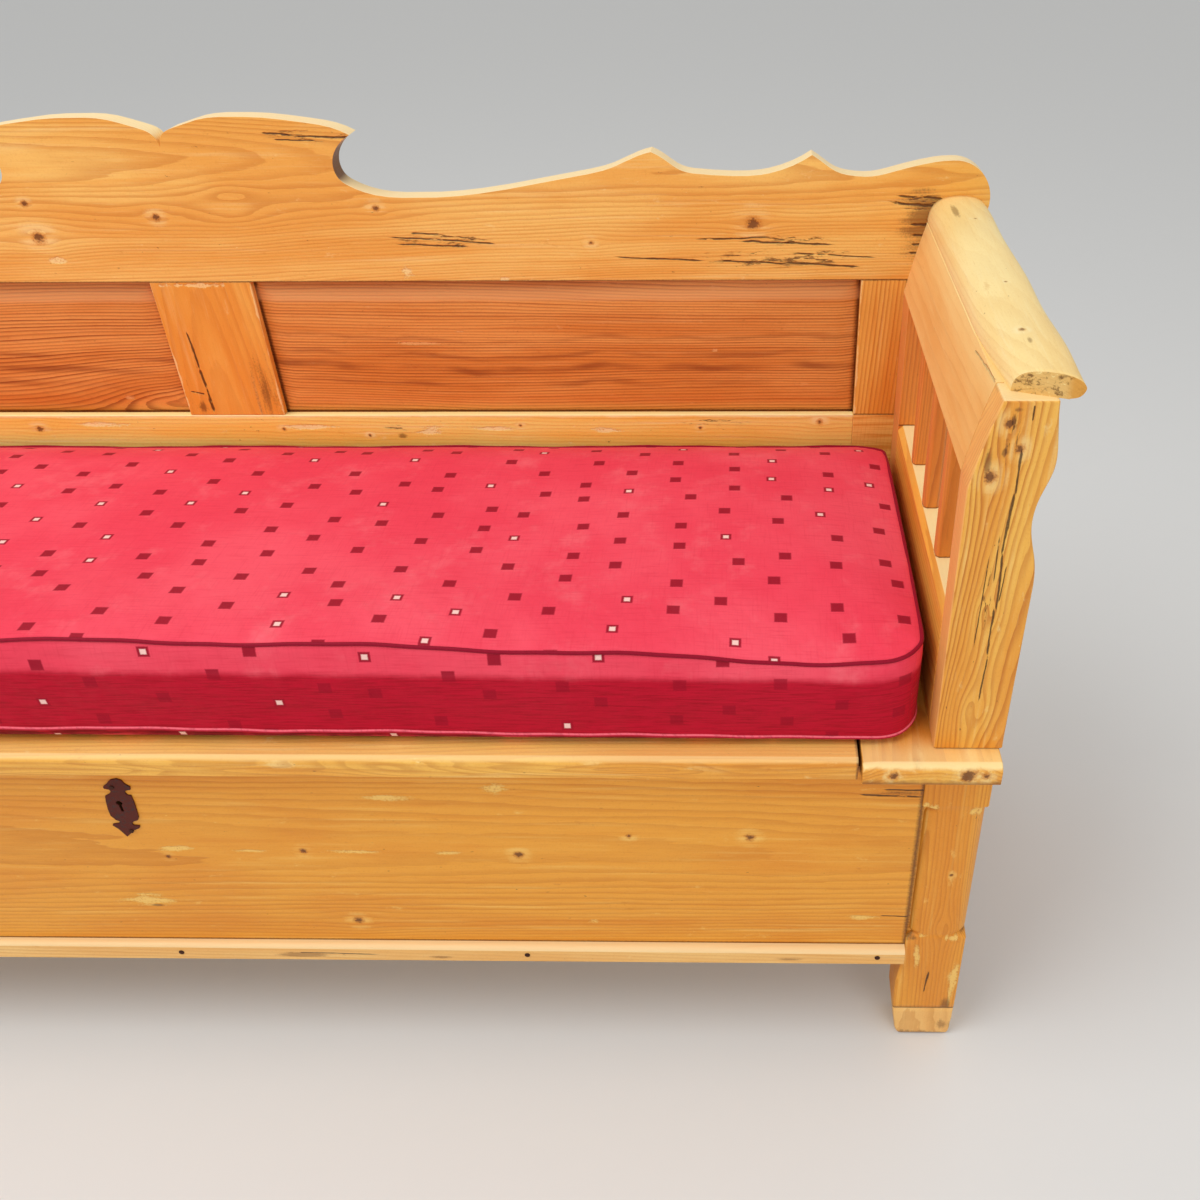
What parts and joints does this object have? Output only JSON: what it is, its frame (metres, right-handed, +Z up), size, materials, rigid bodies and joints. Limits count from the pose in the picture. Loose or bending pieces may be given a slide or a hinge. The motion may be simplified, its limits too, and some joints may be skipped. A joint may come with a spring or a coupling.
{
  "type": "settle bench",
  "caption": "Long pine settle with a framed back, a sawn wavy crest, spindled arms, a lockable storage box under a hinged lid, and a box cushion.",
  "frame": {"origin": "on the floor, under the middle of the bench's overall box", "axes": "+X to the right seen from the front, -Y to the front, +Z up"},
  "size_m": [1.8462, 0.533, 0.963],
  "materials": {
    "pine": "waxed, satin",
    "panel_pine": "waxed, satin",
    "back_pine": "waxed, dark and satin",
    "inside_pine": "bare, matt",
    "dark_iron": "dark, worn",
    "steel": "dull",
    "red_cover": "woven, slight sheen"
  },
  "bodies": {
    "root": {"crest_rail": "pine", "centre_muntin": "pine", "back_rail": "pine", "box_back": "inside_pine", "front_panel": "panel_pine", "front_strip": "pine", "hinge_rail": "pine", "lock_case": "steel", "keyhole_plate": "dark_iron", "keyhole_plate_pins": "dark_iron", "strip_nails": "dark_iron", "rail_hinge_screws": "steel", "back_panel_left": "back_pine", "back_stile_left": "pine", "front_arm_post_left": "pine", "rear_arm_post_left": "pine", "armrest_left": "pine", "arm_rail_left": "pine", "arm_board_left": "pine", "front_leg_left": "pine", "foot_tip_left": "pine", "seat_end_left": "pine", "arm_spindle_left_1": "pine", "arm_spindle_left_2": "pine", "arm_spindle_left_3": "pine", "side_panel_left": "panel_pine", "hinge_pin_left": "steel", "hinge_leaf_rail_left": "steel", "back_panel_right": "back_pine", "back_stile_right": "pine", "front_arm_post_right": "pine", "rear_arm_post_right": "pine", "armrest_right": "pine", "arm_rail_right": "pine", "arm_board_right": "pine", "front_leg_right": "pine", "foot_tip_right": "pine", "seat_end_right": "pine", "arm_spindle_right_1": "pine", "arm_spindle_right_2": "pine", "arm_spindle_right_3": "pine", "side_panel_right": "panel_pine", "hinge_pin_right": "steel", "hinge_leaf_rail_right": "steel", "bottom_bearer_left": "inside_pine", "bottom_bearer_middle": "inside_pine", "bottom_bearer_right": "inside_pine", "bottom_board_front": "inside_pine", "bottom_board_middle": "inside_pine", "bottom_board_back": "inside_pine"},
    "lid": {"lid": "pine", "lid_strike": "steel", "lid_hinge_screws": "steel", "lid_batten_left": "inside_pine", "lid_batten_right": "inside_pine", "hinge_leaf_lid_left": "steel", "hinge_leaf_lid_right": "steel"},
    "cushion": {"cushion": "red_cover"},
    "bolt": {"lock_bolt": "steel"}
  },
  "joints": [
    {"name": "cushion_lift", "type": "slide", "parent": "root", "child": "cushion", "axis": [0, 0, 1], "range_m": [0, 0.82]},
    {"name": "lid_hinge", "type": "hinge", "parent": "root", "child": "lid", "pos_m": [0, 0.1715, 0.4695], "axis": [-1, 0, 0], "range_deg": [0, 97]},
    {"name": "lock_bolt_slide", "type": "slide", "parent": "root", "child": "bolt", "axis": [-1, 0, 0], "range_m": [0, 0.012]}
  ],
  "couplings": [
    {"joint": "lid_hinge", "follows": "cushion_lift", "rad_per_m": 2.0646}
  ]
}
